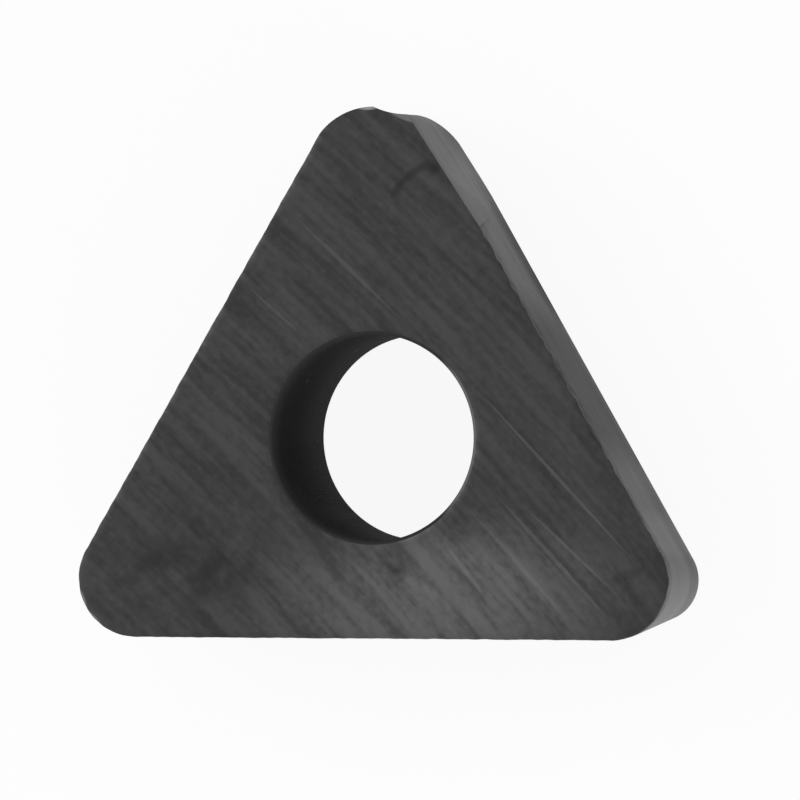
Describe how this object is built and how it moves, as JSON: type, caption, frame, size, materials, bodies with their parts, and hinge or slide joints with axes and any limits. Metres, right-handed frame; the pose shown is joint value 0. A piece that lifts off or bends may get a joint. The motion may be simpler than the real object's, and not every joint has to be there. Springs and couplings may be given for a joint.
{
  "type": "carbide insert",
  "caption": "Triangular indexable carbide insert with a flat ground cutting face, relieved flanks, rounded noses and a plain clamping hole.",
  "frame": {"origin": "on the hole's axis, in the plane of the seat (the smaller face)", "axes": "+Z along the hole, from the seat to the cutting face; +Y towards the worn nose; +X completes the right-handed frame"},
  "size_m": [0.0144, 0.0126, 0.0048],
  "materials": {
    "carbide": "uncoated cemented carbide, ground top and flanks, sintered bore"
  },
  "bodies": {
    "root": {"insert": "carbide"}
  },
  "joints": []
}
